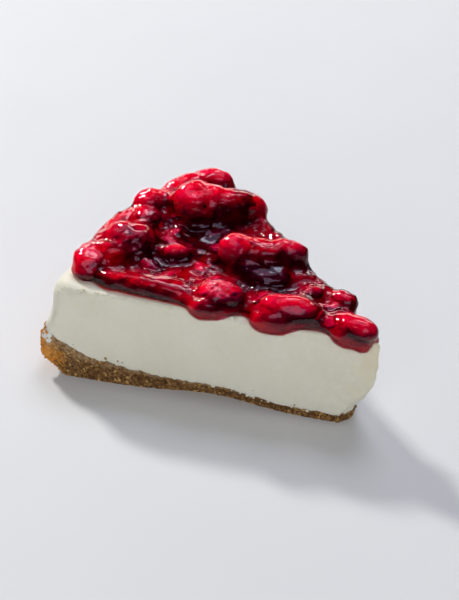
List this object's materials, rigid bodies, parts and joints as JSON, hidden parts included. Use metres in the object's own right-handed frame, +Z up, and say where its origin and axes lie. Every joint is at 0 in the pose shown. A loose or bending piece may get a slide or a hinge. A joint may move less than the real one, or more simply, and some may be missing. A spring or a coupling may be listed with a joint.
{
  "type": "slice of cheesecake",
  "caption": "Wedge of baked cheesecake on a biscuit crust with a raised rim wall, topped with cherries in a thick red glaze.",
  "frame": {"origin": "centre of the slice's footprint box, on the flat underside of the crust", "axes": "+Z up, +X along the slice's centre line from the rim to the tip, +Y from the near cut side to the far cut side"},
  "size_m": [0.1188, 0.0972, 0.0532],
  "materials": {
    "biscuit_crust": "rough baked biscuit crumb, matte",
    "baked_cheese": "smooth baked cream cheese, satin",
    "red_glaze": "thick clear red fruit glaze, wet gloss",
    "cherry_skin": "cooked cherry skin under glaze, wet gloss"
  },
  "bodies": {
    "root": {"crust": "biscuit_crust", "filling": "baked_cheese", "glaze": "red_glaze", "cherry_peak": "cherry_skin", "cherry_peak_side": "cherry_skin", "cherry_crown": "cherry_skin", "cherry_crown_side": "cherry_skin", "cherry_under": "cherry_skin", "cherry_shoulder": "cherry_skin", "cherry_end": "cherry_skin", "cherry_scrap": "cherry_skin", "cherry_open": "cherry_skin", "cherry_long": "cherry_skin", "cherry_torn": "cherry_skin", "cherry_far": "cherry_skin", "cherry_tip": "cherry_skin", "cherry_rim": "cherry_skin", "cherry_corner": "cherry_skin"}
  },
  "joints": []
}
